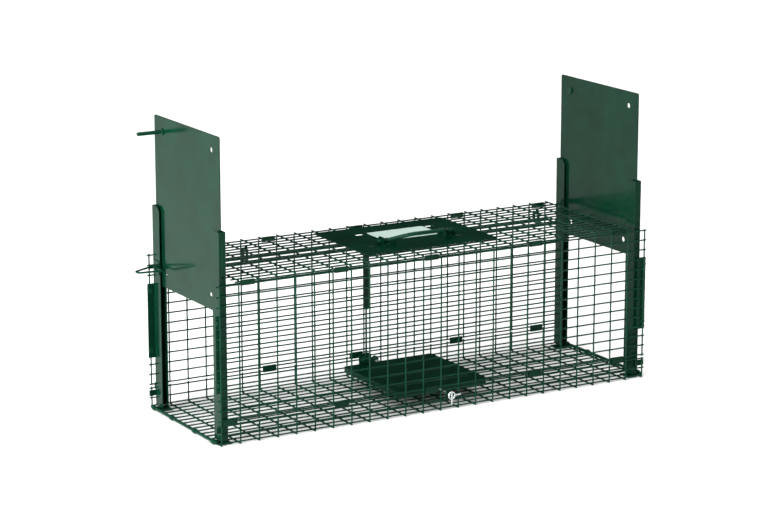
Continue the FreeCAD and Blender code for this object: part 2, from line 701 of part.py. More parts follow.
def treadle_stop():
    t = TREADLE_T
    legs = []
    for side in (NEAR, FAR):
        y = side * STOP_Y
        legs.append(box(STOP_X[0], STOP_X[1], y - t / 2, y + t / 2, FLOOR_TOP_Z, STOP_Z))
    roof = box(STOP_X[0], STOP_X[1], -STOP_Y - t / 2, STOP_Y + t / 2, STOP_Z - t, STOP_Z)
    return roof.multiFuse(legs).removeSplitter()


def build():
    os.makedirs("parts", exist_ok=True)
    save("side_mesh_near", wall_panel(NEAR))
    save("side_mesh_far", wall_panel(FAR))
    save("tray_side_near", tray_side(NEAR))
    save("tray_side_far", tray_side(FAR))
    floor_end = HALF_L + FLOOR_END
    save("floor_mesh", flat_panel(CELLS_LONG, floor_end, FLOOR_LONG_Z, FLOOR_CROSS_Z, UPRIGHT_Y + WIRE_R))
    roof_end = TOP_CELLS * CELL_X / 2 + STUB
    save("top_mesh", flat_panel(TOP_CELLS, roof_end, TOP_LONG_Z, TOP_CROSS_Z, UPRIGHT_Y + ROOF_STUB))
    for name, side in (("near", NEAR), ("far", FAR)):
        save("clips_top_" + name, clip_row(TOP_CLIP_CELLS, side, WALL_TOP_Z, TOP_LONG_Z))
        save("clips_seam_" + name, clip_row(SEAM_CLIP_CELLS, side, TRAY_ROW_Z[-1], WALL_LOW_Z))
    for name, end in (("left", LEFT), ("right", RIGHT)):
        save("end_bar_" + name, end_bar(end))
        save("bar_collars_" + name, bar_collars(end))
    guide_shape = guide()
    bracket = guide_bracket()
    corners = {"right_far": (False, False), "left_far": (True, False), "right_near": (False, True),
               "left_near": (True, True)}
    for name, (flip_x, flip_y) in corners.items():
        for kind, shape in (("guide_", guide_shape), ("guide_bracket_", bracket)):
            placed = mirror_x(shape) if flip_x else shape
            placed = mirror_y(placed) if flip_y else placed
            save(kind + name, placed)
    save("seam_straps", at_corners(wall_bracket(*STRAP_Z)))
    save("bracket_rivets", at_corners(Part.makeCompound(bracket_rivets())))
    save("foot_plates", at_corners(foot_plate()))
    pieces = {"door": door(), "lift_pin": lift_pin(), "latch": latch_loop(), "latch_clip": latch_clip()}
    for name, shape in pieces.items():
        save(name + "_right", shape)
        save(name + "_left", mirror_x(shape))
    save("handle_plate", handle_plate())
    save("plate_tongues", plate_tongues())
    save("label_plate", label_plate())
    save("handle_lug_left", handle_lug(LEFT))
    save("handle_lug_right", handle_lug(RIGHT))
    save("lug_rivets", lug_rivets())
    save("handle", handle())
    save("rocker", rocker())
    save("rocker_shaft", rocker_shaft())
    save("shaft_collars", shaft_collars())
    save("rocker_bracket", rocker_bracket())
    save("rod_hanger_left", rod_hanger(HANGERS_X[0]))
    save("rod_hanger_right", rod_hanger(HANGERS_X[1]))
    save("trigger_rod_left", trigger_rod(LEFT))
    save("trigger_rod_right", trigger_rod(RIGHT))
    save("link_bar", link_bar())
    save("link_wire", link_wire())
    save("treadle_plate", treadle_plate())
    save("treadle_lugs", treadle_lugs())
    save("treadle_ear", treadle_ear())
    save("treadle_axle", treadle_axle())
    save("axle_ring", axle_ring())
    save("axle_bushes", axle_bushes())
    save("treadle_stop", treadle_stop())


build()
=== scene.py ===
"""Looks for a live catch trap: dark green coated welded mesh, drop doors, linkage, handle and latches."""

import math
import random

import bpy
from bpy.props import FloatProperty, FloatVectorProperty, IntProperty, PointerProperty
from bpy.types import Operator, Panel, PropertyGroup
from mathutils import Matrix, Vector


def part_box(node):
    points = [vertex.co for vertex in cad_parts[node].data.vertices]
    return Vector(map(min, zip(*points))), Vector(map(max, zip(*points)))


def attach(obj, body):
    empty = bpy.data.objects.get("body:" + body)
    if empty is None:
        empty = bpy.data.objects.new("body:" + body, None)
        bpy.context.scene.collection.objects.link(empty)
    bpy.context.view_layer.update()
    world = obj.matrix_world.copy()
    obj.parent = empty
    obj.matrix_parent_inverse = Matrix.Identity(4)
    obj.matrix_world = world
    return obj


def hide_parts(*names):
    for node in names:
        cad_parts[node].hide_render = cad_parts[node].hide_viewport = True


bl_info = {
    "name": "Live Catch Trap",
    "version": (1, 0, 0),
    "blender": (4, 5, 0),
    "location": "3D View > Sidebar > Trap",
    "description": "Builds the looks of a two-door live catch trap around its packed frame",
    "category": "Object",
}

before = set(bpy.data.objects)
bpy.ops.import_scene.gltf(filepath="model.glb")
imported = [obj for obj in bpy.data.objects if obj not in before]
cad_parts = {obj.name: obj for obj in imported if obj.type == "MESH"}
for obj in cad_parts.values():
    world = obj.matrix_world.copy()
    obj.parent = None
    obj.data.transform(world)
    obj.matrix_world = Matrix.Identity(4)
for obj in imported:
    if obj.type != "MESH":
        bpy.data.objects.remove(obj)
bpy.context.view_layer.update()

MM = 0.001
SEED = 41
ENDS = ("left", "right")
SIDES = ("near", "far")

# The cage's welded mesh, in millimetres. It repeats the frame's wires, so each coated wire covers one.
CELL_X = 25.4
CELL_S = 12.7
HALF_CELLS = 12
CELLS_ACROSS = 15
WALL_CELLS = 13
LAYER = 1.85
HALF_L = HALF_CELLS * CELL_X
WALL_Y = CELLS_ACROSS * CELL_S / 2
UPRIGHT_Y = WALL_Y + LAYER
# How far long rows and uprights run past their last crossing.
STUB = 4.0
SHORT_STUB = 1.9
# How far the floor's rows run past the end uprights, and cross wires past the uprights' centre lines.
FLOOR_END = 1.4
FLOOR_SIDE = 1.0
ROOF_SIDE = 0.5
# How far above the floor's cross wires the tray's uprights start.
TRAY_LOW = 1.0
# Heights of the rows and of the floor's and roof's two layers.
TRAY_ROWS = (13.0, 25.4)
SEAM_ROW = 30.5
ROOF_LIFT = 3.4
WALL_ROWS = [SEAM_ROW + CELL_S * row for row in range(WALL_CELLS + 1)]
FLOOR_CROSS_Z = 1.0
FLOOR_LONG_Z = FLOOR_CROSS_Z + LAYER
ROOF_LONG_Z = WALL_ROWS[-1] + ROOF_LIFT
ROOF_CROSS_Z = ROOF_LONG_Z + LAYER
ROWS_ACROSS = [-WALL_Y + CELL_S * row for row in range(CELLS_ACROSS + 1)]
UPRIGHTS = [CELL_X * k for k in range(-HALF_CELLS, HALF_CELLS + 1)]
ROOF_CROSSERS = UPRIGHTS[1:-1]

# A mesh wire's cut end: widths as shares of its radius, then distances from the end in millimetres.
CUT_FACE = 0.45
CUT_SHOULDER = 0.86
CUT_EDGE = 0.22
CUT_ROUND = 0.7
# Coating swells this far to either side of a weld, by a share of its set height that varies.
WELD_REACH = 1.7
SWELL_SHARES = (0.7, 1.2)
# A wire strays only where its welds are further apart than this, in millimetres.
STRAY_SPAN = 6
# Wires are drawn just under their radius, so that they stay inside the frame's own.
COATED_SHARE = 0.985

# Edge rounding on sheet: vertices closer than the gap are joined, and edges sharper than the angle rounded.
JOIN_GAP = 0.01
SHARP_DEGREES = 50
EDGE_STEPS = 2

# The stage, in metres and watts: each light's name, place, aim, width and power.
FLOOR_REACH_M = 40.0
LIGHTS = (
    ("key_left", (-2.3, -0.7, 0.62), (-0.2, 0, 0.2), 1.1, 110),
    ("front_fill", (-0.4, -3.4, 1.9), (0, 0, 0.12), 1.6, 35),
    ("back_fill", (-2.2, 2.2, 2.6), (0, 0, 0.15), 1.2, 18),
)

# Bent wires. A bend takes at most this share of the straights beside it, and is drawn in this many steps.
BEND_SHARE = 0.45
BEND_STEPS = 6
# A rounded tip, in wire radii: how far along, then how wide.
WIRE_TIP = ((0.0, 0.62), (0.12, 0.88), (0.45, 1.0))
# The latch loop's two outer corners: shares of its width from near to far, then shifts outwards from there.
LATCH_SIDES = 14
LATCH_BEND = 3.0
LATCH_WAIST = (0.38, 0.19)
LATCH_NOSE = (1.5, 1.0)
LATCH_SEAM = 0.1
# The carry handle: its straight shank beside each lug, and half of its grip's length.
HANDLE_WIRE_R = 2.5
HANDLE_BEND = 7.0
HANDLE_SHANK = 11.0
HANDLE_GRIP_HALF = 26.0
HANDLE_SIDES = 18


def srgb(code):
    """Turns a six-figure sRGB hex colour into linear red, green, blue and alpha."""
    parts = [int(code[i:i + 2], 16) / 255 for i in (0, 2, 4)]
    linear = [p / 12.92 if p <= 0.04045 else ((p + 0.055) / 1.055) ** 2.4 for p in parts]
    return (*linear, 1.0)


def colour_setting(name, description, code):
    """A colour that the user can change, which starts from an sRGB hex value."""
    return FloatVectorProperty(
        name=name, description=description, subtype="COLOR", size=4, min=0.0, max=1.0, default=srgb(code))


class TrapFinish(PropertyGroup):
    """Colours and surface sizes of the coatings."""

    sheet_colour: colour_setting("Sheet coat", "Powder coat on the sheet parts", "052B1C")
    sheet_thin: colour_setting("Sheet coat, thin", "Powder coat where it thins on sheared edges", "1F4D3B")
    sheet_deep: colour_setting("Sheet coat, deep", "Powder coat where it lies thickest", "042216")
    wire_colour: colour_setting("Wire coat", "Dip coat on the wire parts", "0A3525")
    wire_thin: colour_setting("Wire coat, thin", "Dip coat where it thins on cut ends", "2A5D49")
    wire_deep: colour_setting("Wire coat, deep", "Dip coat where it lies thickest", "072A1C")
    zinc_dull: colour_setting("Zinc, dull", "Darker tone of the zinc's grain", "B4B9BC")
    zinc_bright: colour_setting("Zinc, bright", "Lighter tone of the zinc's grain", "E6E9E9")
    label_shade: colour_setting("Label, shade", "Darker tone of the label's ink", "C6E2D6")
    label_tint: colour_setting("Label, tint", "Lighter tone of the label's ink", "D8EEE4")
    coat_roughness: FloatProperty(
        name="Coating roughness", description="How blurred the gloss coating's reflections are",
        default=0.13, min=0.02, max=0.9)
    peel_mm: FloatProperty(
        name="Orange peel", description="Spacing of the coating's orange peel, in millimetres",
        default=2.6, min=0.5, max=10.0)
    sheet_wave_mm: FloatProperty(
        name="Sheet wave", description="Spacing of the slow waves in rolled sheet, in millimetres",
        default=70.0, min=10.0, max=300.0)
    edge_mm: FloatProperty(
        name="Edge radius", description="Radius that the coating gives to sheared edges, in millimetres",
        default=0.45, min=0.05, max=2.0)
    soft_edge_mm: FloatProperty(
        name="Soft edge", description="Width of the rounding modelled on sheet edges, in millimetres",
        default=0.22, min=0.0, max=0.5)


class TrapWire(PropertyGroup):
    """Sizes of the drawn and coated wire."""

    radius_mm: FloatProperty(
        name="Wire radius", description="Radius of the coated mesh wire, in millimetres",
        default=1.0, min=0.4, max=3.0)
    weld_swell_mm: FloatProperty(
        name="Weld swell", description="How much coating gathers round each weld, in millimetres",
        default=0.28, min=0.0, max=1.0)
    sway_mm: FloatProperty(
        name="Wire sway", description="How far a wire strays sideways between welds, in millimetres",
        default=0.16, min=0.0, max=1.0)
    sides: IntProperty(
        name="Sides", description="Number of sides on each mesh wire", default=8, min=6, max=16)


class TrapStage(PropertyGroup):
    """Floor and camera of the stage."""

    floor_shade: colour_setting("Floor, shade", "Darker tone of the floor's paint", "F7F7F6")
    floor_tint: colour_setting("Floor, tint", "Lighter tone of the floor's paint", "FBFBFA")
    camera_m: FloatVectorProperty(
        name="Camera", description="Where the camera stands", size=3, subtype="TRANSLATION", unit="LENGTH",
        default=(-1.6788, -2.8671, 0.9566))
    yaw: FloatProperty(
        name="Yaw", description="Turn of the view from straight across the trap towards +X",
        subtype="ANGLE", default=math.radians(30.065))
    pitch: FloatProperty(
        name="Pitch", description="How far the view points down",
        subtype="ANGLE", default=math.radians(13.27))
    lens_mm: FloatProperty(
        name="Lens", description="Focal length on a 36 mm wide sensor", default=125.36, min=20.0, max=400.0)


# Materials.

# Slow waves in the steel under the coat, in millimetres.
SHEET_WAVE_HEIGHT = 0.10
WIRE_WAVE_MM = 20.0
WIRE_WAVE_HEIGHT = 0.05
# How much rougher the dipped coat is than the sprayed one.
WIRE_ROUGHER = 1.2


def add_node(tree, kind, settings=None, **links):
    """Adds one node: settings go to its properties or input values, links to its input sockets."""
    made = tree.nodes.new(kind)
    for key, value in (settings or {}).items():
        if hasattr(made, key):
            setattr(made, key, value)
        else:
            made.inputs[key.replace("_", " ")].default_value = value
    for key, source in links.items():
        index = key.replace("_", " ").strip()
        socket = made.inputs[int(index)] if index.isdigit() else made.inputs[index]
        tree.links.new(source, socket)
    return made


def start_material(name):
    material = bpy.data.materials.new(name)
    material.use_nodes = True
    tree = material.node_tree
    tree.nodes.clear()
    out = add_node(tree, "ShaderNodeOutputMaterial")
    place = add_node(tree, "ShaderNodeTexCoord").outputs["Object"]
    return material, tree, out, place


def coated_steel(name, colour, thin, deep, roughness, wave_mm, wave_height):
    """Polyester coat baked on steel, sprayed on sheet and dipped on wire: a deep wet gloss with fine orange
    peel, slow waves from the steel under it, thinner colour on sheared edges and a few dust nibs."""
    finish = bpy.context.scene.trap_finish
    material, tree, out, place = start_material(name)
    cloud = add_node(tree, "ShaderNodeTexNoise", {"Scale": 1 / (38 * MM), "Detail": 5.0}, Vector=place)
    tint = add_node(tree, "ShaderNodeValToRGB", Fac=cloud.outputs["Fac"])
    tint.color_ramp.elements[0].color = deep
    tint.color_ramp.elements[0].position = 0.30
    tint.color_ramp.elements[1].color = colour
    tint.color_ramp.elements[1].position = 0.66
    # Dust nibs are taken as about 0.3 mm wide, and are drawn 0.7 to 1.5 mm wide so that they show.
    nib = add_node(tree, "ShaderNodeTexVoronoi", {"Scale": 1 / (7 * MM)}, Vector=place)
    speck = add_node(tree, "ShaderNodeMapRange",
                     {"From_Min": 0.05, "From_Max": 0.11, "To_Min": 1.0, "To_Max": 0.0},
                     Value=nib.outputs["Distance"])
    # The bevel node's softened normal differs from the true one only near sheared edges.
    soft = add_node(tree, "ShaderNodeBevel", {"samples": 4, "Radius": finish.edge_mm * MM})
    true = add_node(tree, "ShaderNodeNewGeometry").outputs["Normal"]
    match = add_node(tree, "ShaderNodeVectorMath", {"operation": "DOT_PRODUCT"},
                     _0=soft.outputs["Normal"], _1=true)
    edge = add_node(tree, "ShaderNodeMapRange",
                    {"From_Min": 0.80, "From_Max": 0.99, "To_Min": 0.55, "To_Max": 0.0},
                    Value=match.outputs["Value"])
    paint = add_node(tree, "ShaderNodeMix", {"data_type": "RGBA"}, Factor=edge.outputs["Result"])
    tree.links.new(tint.outputs["Color"], paint.inputs[6])
    paint.inputs[7].default_value = thin
    peel = add_node(tree, "ShaderNodeTexNoise",
                    {"Scale": 1 / (finish.peel_mm * MM), "Detail": 2.0}, Vector=place)
    wave = add_node(tree, "ShaderNodeTexNoise", {"Scale": 1 / (wave_mm * MM), "Detail": 1.0}, Vector=place)
    slow = add_node(tree, "ShaderNodeBump", {"Strength": 1.0, "Distance": wave_height * MM},
                    Height=wave.outputs["Fac"], Normal=soft.outputs["Normal"])
    skin = add_node(tree, "ShaderNodeBump", {"Strength": 0.55, "Distance": 0.030 * MM},
                    Height=peel.outputs["Fac"], Normal=slow.outputs["Normal"])
    nibs = add_node(tree, "ShaderNodeBump", {"Strength": 0.6, "Distance": 0.06 * MM},
                    Height=speck.outputs["Result"], Normal=skin.outputs["Normal"])
    haze = add_node(tree, "ShaderNodeTexNoise", {"Scale": 1 / (14 * MM), "Detail": 3.0}, Vector=place)
    blur = add_node(tree, "ShaderNodeMapRange",
                    {"From_Min": 0.3, "From_Max": 0.75, "To_Min": roughness * 0.8, "To_Max": roughness * 1.5},
                    Value=haze.outputs["Fac"])
    shader = add_node(tree, "ShaderNodeBsdfPrincipled",
                      {"IOR": 1.50, "Specular_IOR_Level": 0.08},
                      Base_Color=paint.outputs[2], Roughness=blur.outputs["Result"],
                      Normal=nibs.outputs["Normal"])
    tree.links.new(shader.outputs["BSDF"], out.inputs["Surface"])
    return material


def bright_zinc(name):
    """Drawn steel wire, electroplated with bright zinc: pale, slightly blue, with a grain. The real grain is
    finer than a millimetre and is drawn at 0.9 mm so that it shows."""
    finish = bpy.context.scene.trap_finish
    material, tree, out, place = start_material(name)
    grain = add_node(tree, "ShaderNodeTexNoise", {"Scale": 1 / (0.9 * MM), "Detail": 4.0}, Vector=place)
    tone = add_node(tree, "ShaderNodeValToRGB", Fac=grain.outputs["Fac"])
    tone.color_ramp.elements[0].color = finish.zinc_dull
    tone.color_ramp.elements[1].color = finish.zinc_bright
    rough = add_node(tree, "ShaderNodeMapRange", {"To_Min": 0.16, "To_Max": 0.34},
                     Value=grain.outputs["Fac"])
    relief = add_node(tree, "ShaderNodeBump", {"Strength": 0.4, "Distance": 0.03 * MM},
                    Height=grain.outputs["Fac"])
    shader = add_node(tree, "ShaderNodeBsdfPrincipled", {"Metallic": 1.0},
                      Base_Color=tone.outputs["Color"], Roughness=rough.outputs["Result"],
                      Normal=relief.outputs["Normal"])
    tree.links.new(shader.outputs["BSDF"], out.inputs["Surface"])
    return material


def film_label(name):
    """Printed polyester film, laminated and stuck down: flat pale mint ink under a clear gloss."""
    finish = bpy.context.scene.trap_finish
    material, tree, out, place = start_material(name)
    wash = add_node(tree, "ShaderNodeTexNoise", {"Scale": 1 / (22 * MM), "Detail": 2.0}, Vector=place)
    ink = add_node(tree, "ShaderNodeValToRGB", Fac=wash.outputs["Fac"])
    ink.color_ramp.elements[0].color = finish.label_shade
    ink.color_ramp.elements[1].color = finish.label_tint
    lift = add_node(tree, "ShaderNodeBump", {"Strength": 0.4, "Distance": 0.08 * MM},
                    Height=wash.outputs["Fac"])
    shader = add_node(tree, "ShaderNodeBsdfPrincipled",
                      {"Roughness": 0.30, "IOR": 1.5, "Coat_Weight": 0.6, "Coat_Roughness": 0.08},
                      Base_Color=ink.outputs["Color"], Normal=lift.outputs["Normal"])
    tree.links.new(shader.outputs["BSDF"], out.inputs["Surface"])
    return material


def pale_floor(name):
    """Matt painted studio board, rolled: near white with the faintest mottle."""
    stage = bpy.context.scene.trap_stage
    material, tree, out, place = start_material(name)
    mottle = add_node(tree, "ShaderNodeTexNoise", {"Scale": 1 / (400 * MM), "Detail": 3.0}, Vector=place)
    tone = add_node(tree, "ShaderNodeValToRGB", Fac=mottle.outputs["Fac"])
    tone.color_ramp.elements[0].color = stage.floor_shade
    tone.color_ramp.elements[1].color = stage.floor_tint
    shader = add_node(tree, "ShaderNodeBsdfPrincipled", {"Roughness": 0.85, "Specular_IOR_Level": 0.1},
                      Base_Color=tone.outputs["Color"])
    tree.links.new(shader.outputs["BSDF"], out.inputs["Surface"])
    return material


def coated_sheet(name):
    finish = bpy.context.scene.trap_finish
    return coated_steel(name, finish.sheet_colour, finish.sheet_thin, finish.sheet_deep,
                        finish.coat_roughness, finish.sheet_wave_mm, SHEET_WAVE_HEIGHT)


def coated_wire(name):
    finish = bpy.context.scene.trap_finish
    return coated_steel(name, finish.wire_colour, finish.wire_thin, finish.wire_deep,
                        finish.coat_roughness * WIRE_ROUGHER, WIRE_WAVE_MM, WIRE_WAVE_HEIGHT)


FINISHES = {
    "sheet": ("powder_coated_rolled_sheet", coated_sheet),
    "wire": ("dip_coated_drawn_wire", coated_wire),
    "zinc": ("zinc_plated_drawn_wire", bright_zinc),
    "label": ("laminated_polyester_film", film_label),
    "floor": ("painted_studio_board", pale_floor),
}


def material(key):
    """Returns the named finish, making it the first time that it is asked for."""
    name, maker = FINISHES[key]
    return bpy.data.materials.get(name) or maker(name)


def dress(nodes, key):
    """Gives kept frame nodes a finish, and the soft edges that a thick coating leaves on sheared sheet."""
    soften = bpy.context.scene.trap_finish.soft_edge_mm if key == "sheet" else 0.0
    for name in nodes:
        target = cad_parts[name]
        target.data.materials.clear()
        target.data.materials.append(material(key))
        if soften:
            join = target.modifiers.new("join", "WELD")
            join.merge_threshold = JOIN_GAP * MM
            edge = target.modifiers.new("coated_edges", "BEVEL")
            edge.width = soften * MM
            edge.segments = EDGE_STEPS
            edge.limit_method = "ANGLE"
            edge.angle_limit = math.radians(SHARP_DEGREES)


# Mesh builders. Sizes come in millimetres and leave in metres.

class Shape:
    """Collects rings of vertices into one mesh."""

    def __init__(self):
        self.verts = []
        self.faces = []

    def tube(self, points, radii, sides):
        """A closed tube of varying radius along points, with one ring at each."""
        points = [Vector(p) for p in points]
        ahead = (points[1] - points[0]).normalized()
        side = ahead.orthogonal().normalized()
        first = len(self.verts)
        for i, point in enumerate(points):
            before = points[max(i - 1, 0)]
            after = points[min(i + 1, len(points) - 1)]
            way = (after - before).normalized()
            side = (side - way * side.dot(way)).normalized()
            other = way.cross(side)
            for k in range(sides):
                turn = 2 * math.pi * k / sides
                spoke = side * math.cos(turn) + other * math.sin(turn)
                self.verts.append((point + spoke * radii[i]) * MM)
        for i in range(len(points) - 1):
            for k in range(sides):
                a = first + i * sides + k
                b = first + i * sides + (k + 1) % sides
                self.faces.append((a, b, b + sides, a + sides))
        self.faces.append([first + k for k in reversed(range(sides))])
        self.faces.append([len(self.verts) - sides + k for k in range(sides)])

    def finish(self, name, key, body, slot, replaced=()):
        mesh = bpy.data.meshes.new(name)
        mesh.from_pydata([tuple(v) for v in self.verts], [], self.faces)
        mesh.validate()
        mesh.shade_smooth()
        mesh.materials.append(material(key))
        piece = bpy.data.objects.new(name, mesh)
        bpy.context.scene.collection.objects.link(piece)
        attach(piece, body)
        if replaced:
            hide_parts(*replaced)
        return piece


def round_bends(corners, bend):
    """Turns a route's corners into arcs, the way a bending jig does."""
    corners = [Vector(c) for c in corners]
    route = [corners[0]]
    for before, corner, after in zip(corners, corners[1:], corners[2:]):
        shorter = min((before - corner).length, (after - corner).length)
        reach = min(bend, shorter * BEND_SHARE)
        start = corner + (before - corner).normalized() * reach
        end = corner + (after - corner).normalized() * reach
        for step in range(BEND_STEPS + 1):
            t = step / BEND_STEPS
            route.append(start * (1 - t) ** 2 + corner * 2 * t * (1 - t) + end * t ** 2)
    route.append(corners[-1])
    return route


def bent_wire(shape, corners, radius, bend, sides=LATCH_SIDES):
    """A jig-bent wire with softly rounded ends."""
    route = round_bends(corners, bend)
    head = (route[1] - route[0]).normalized()
    tail = (route[-2] - route[-1]).normalized()
    first = [route[0] + head * radius * at for at, _ in WIRE_TIP]
    last = [route[-1] + tail * radius * at for at, _ in reversed(WIRE_TIP)]
    points = first + route[1:-1] + last
    tip = [radius * share for _, share in WIRE_TIP]
    radii = tip + [radius] * (len(route) - 2) + tip[::-1]
    shape.tube(points, radii, sides)


def mesh_wire(shape, start, end, crossings, towards, rng):
    """One mesh wire: coating swells on the weld side at each crossing and the wire strays between them."""
    wire = bpy.context.scene.trap_wire
    r = wire.radius_mm * COATED_SHARE
    start = Vector(start)
    end = Vector(end)
    way = (end - start).normalized()
    inward = Vector(towards)
    sideways = way.cross(inward)
    length = (end - start).length
    cut = [(0.0, r * CUT_FACE), (CUT_EDGE, r * CUT_SHOULDER), (CUT_ROUND, r)]
    stations = [(at, size, 0.0, 0.0) for at, size in cut]
    last = CUT_ROUND
    for at in crossings:
        swell = wire.weld_swell_mm * rng.uniform(*SWELL_SHARES)
        if at - WELD_REACH > last:
            middle = (last + at - WELD_REACH) / 2
            if at - last > STRAY_SPAN:
                stations.append((middle, r, 0.0, rng.uniform(-1, 1) * wire.sway_mm))
            stations.append((at - WELD_REACH, r, 0.0, 0.0))
        stations.append((at, r + swell * 0.5, swell * 0.5, 0.0))
        if at + WELD_REACH < length - CUT_ROUND:
            stations.append((at + WELD_REACH, r, 0.0, 0.0))
            last = at + WELD_REACH
    stations += [(length - at, size, 0.0, 0.0) for at, size in reversed(cut)]
    stations.sort(key=lambda s: s[0])
    points = [start + way * t + inward * lift + sideways * stray for t, _, lift, stray in stations]
    shape.tube(points, [radius for _, radius, _, _ in stations], wire.sides)


def wall_panel(name, side, rows, low, high, rng):
    """A standing panel: long rows inside, uprights outside."""
    shape = Shape()
    end = HALF_L + STUB
    for z in rows:
        mesh_wire(shape, (-end, side * WALL_Y, z), (end, side * WALL_Y, z),
                  [x + end for x in UPRIGHTS], (0, side, 0), rng)
    for x in UPRIGHTS:
        mesh_wire(shape, (x, side * UPRIGHT_Y, low), (x, side * UPRIGHT_Y, high),
                  [z - low for z in rows], (0, -side, 0), rng)
    shape.finish("coated_" + name, "wire", "cage", "coated_wire", [name])


def flat_panel(name, end, crossers, long_z, cross_z, cross_end, rng):
    """A lying panel: long rows on one level, cross wires on the other."""
    shape = Shape()
    up = 1 if cross_z > long_z else -1
    for y in ROWS_ACROSS:
        mesh_wire(shape, (-end, y, long_z), (end, y, long_z), [x + end for x in crossers], (0, 0, up), rng)
    for x in crossers:
        mesh_wire(shape, (x, -cross_end, cross_z), (x, cross_end, cross_z),
                  [y + cross_end for y in ROWS_ACROSS], (0, 0, -up), rng)
    shape.finish("coated_" + name, "wire", "cage", "coated_wire", [name])


# Operators, one for each group of pieces.

class TRAP_OT_wire_panels(Operator):
    """Builds the six welded mesh panels with their weld swellings and cut ends"""

    bl_idname = "trap.wire_panels"
    bl_label = "Wire panels"

    def execute(self, context):
        rng = random.Random(SEED)
        for word, side in zip(SIDES, (-1, 1)):
            low = WALL_ROWS[0] - SHORT_STUB
            high = WALL_ROWS[-1] + SHORT_STUB
            wall_panel("side_mesh_" + word, side, WALL_ROWS, low, high, rng)
            tray_top = TRAY_ROWS[-1] + SHORT_STUB
            wall_panel("tray_side_" + word, side, TRAY_ROWS, FLOOR_CROSS_Z + TRAY_LOW, tray_top, rng)
        flat_panel("floor_mesh", HALF_L + FLOOR_END, UPRIGHTS, FLOOR_LONG_Z, FLOOR_CROSS_Z,
                   UPRIGHT_Y + FLOOR_SIDE, rng)
        flat_panel("top_mesh", ROOF_CROSSERS[-1] + STUB, ROOF_CROSSERS, ROOF_LONG_Z, ROOF_CROSS_Z,
                   UPRIGHT_Y + ROOF_SIDE, rng)
        return {"FINISHED"}


class TRAP_OT_doors(Operator):
    """Coats the two sliding doors and their lift pins"""

    bl_idname = "trap.doors"
    bl_label = "Doors"

    def execute(self, context):
        for end in ENDS:
            dress(["door_" + end], "sheet")
            dress(["lift_pin_" + end], "wire")
        return {"FINISHED"}


class TRAP_OT_guides(Operator):
    """Coats the door guides with their brackets, rivets, straps and feet"""

    bl_idname = "trap.guides"
    bl_label = "Guides"

    def execute(self, context):
        for end in ENDS:
            for side in SIDES:
                dress([f"guide_{end}_{side}", f"guide_bracket_{end}_{side}"], "sheet")
        dress(["seam_straps", "foot_plates"], "sheet")
        dress(["bracket_rivets"], "wire")
        return {"FINISHED"}


class TRAP_OT_end_bars(Operator):
    """Coats the bars under the doorways and their collars"""

    bl_idname = "trap.end_bars"
    bl_label = "End bars"

    def execute(self, context):
        for end in ENDS:
            dress(["end_bar_" + end, "bar_collars_" + end], "wire")
        return {"FINISHED"}


class TRAP_OT_clips(Operator):
    """Coats the rolled clips that join the panels and the clips that hold the latches"""

    bl_idname = "trap.clips"
    bl_label = "Clips"

    def execute(self, context):
        for side in SIDES:
            dress(["clips_top_" + side, "clips_seam_" + side], "sheet")
        for end in ENDS:
            dress(["latch_clip_" + end], "sheet")
        return {"FINISHED"}


class TRAP_OT_handle_plate(Operator):
    """Coats the handle plate with its tongues, lugs and rivets"""

    bl_idname = "trap.handle_plate"
    bl_label = "Handle plate"

    def execute(self, context):
        dress(["handle_plate", "handle_lug_left", "handle_lug_right"], "sheet")
        dress(["plate_tongues", "lug_rivets"], "wire")
        return {"FINISHED"}


class TRAP_OT_trigger_linkage(Operator):
    """Coats the trigger rods, their hangers, the rocker and the pull link"""

    bl_idname = "trap.trigger_linkage"
    bl_label = "Trigger linkage"

    def execute(self, context):
        for end in ENDS:
            dress(["trigger_rod_" + end], "wire")
            dress(["rod_hanger_" + end], "sheet")
        dress(["rocker_bracket", "rocker", "link_bar"], "sheet")
        dress(["rocker_shaft", "shaft_collars", "link_wire"], "wire")
        return {"FINISHED"}


class TRAP_OT_treadle(Operator):
    """Coats the treadle and its stop, and plates the axle and its end ring"""

    bl_idname = "trap.treadle"
    bl_label = "Treadle"

    def execute(self, context):
        dress(["treadle_plate", "treadle_lugs", "treadle_ear", "treadle_stop"], "sheet")
        dress(["axle_bushes"], "wire")
        dress(["treadle_axle", "axle_ring"], "zinc")
        return {"FINISHED"}


class TRAP_OT_label(Operator):
    """Finishes the blank film label on the handle plate"""

    bl_idname = "trap.label"
    bl_label = "Label"

    def execute(self, context):
        dress(["label_plate"], "label")
        return {"FINISHED"}


class TRAP_OT_latches(Operator):
    """Bends the two flip latches from wire"""

    bl_idname = "trap.latches"
    bl_label = "Latches"

    def execute(self, context):
        for word, end in zip(ENDS, (-1, 1)):
            low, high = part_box("latch_" + word)
            radius = (high[2] - low[2]) / MM / 2
            z = (low[2] + high[2]) / MM / 2
            pivot = min(abs(low[0]), abs(high[0])) / MM + radius
            apex = max(abs(low[0]), abs(high[0])) / MM - radius
            far = high[1] / MM - radius
            near = low[1] / MM + radius
            high_y, low_y = [near * (1 - share) + far * share for share in LATCH_WAIST]
            nose = [(apex, high_y + LATCH_NOSE[0]), (apex, low_y - LATCH_NOSE[1])]
            loop = [(pivot, far), *nose, (pivot, near)]
            middle = (near + far) / 2
            corners = [(end * pivot, middle + LATCH_SEAM, z)] + [(end * x, y, z) for x, y in loop]
            corners.append((end * pivot, middle, z))
            shape = Shape()
            bent_wire(shape, corners, radius, LATCH_BEND)
            shape.finish("bent_latch_" + word, "wire", word + "_latch", "coated_wire", ["latch_" + word])
        return {"FINISHED"}


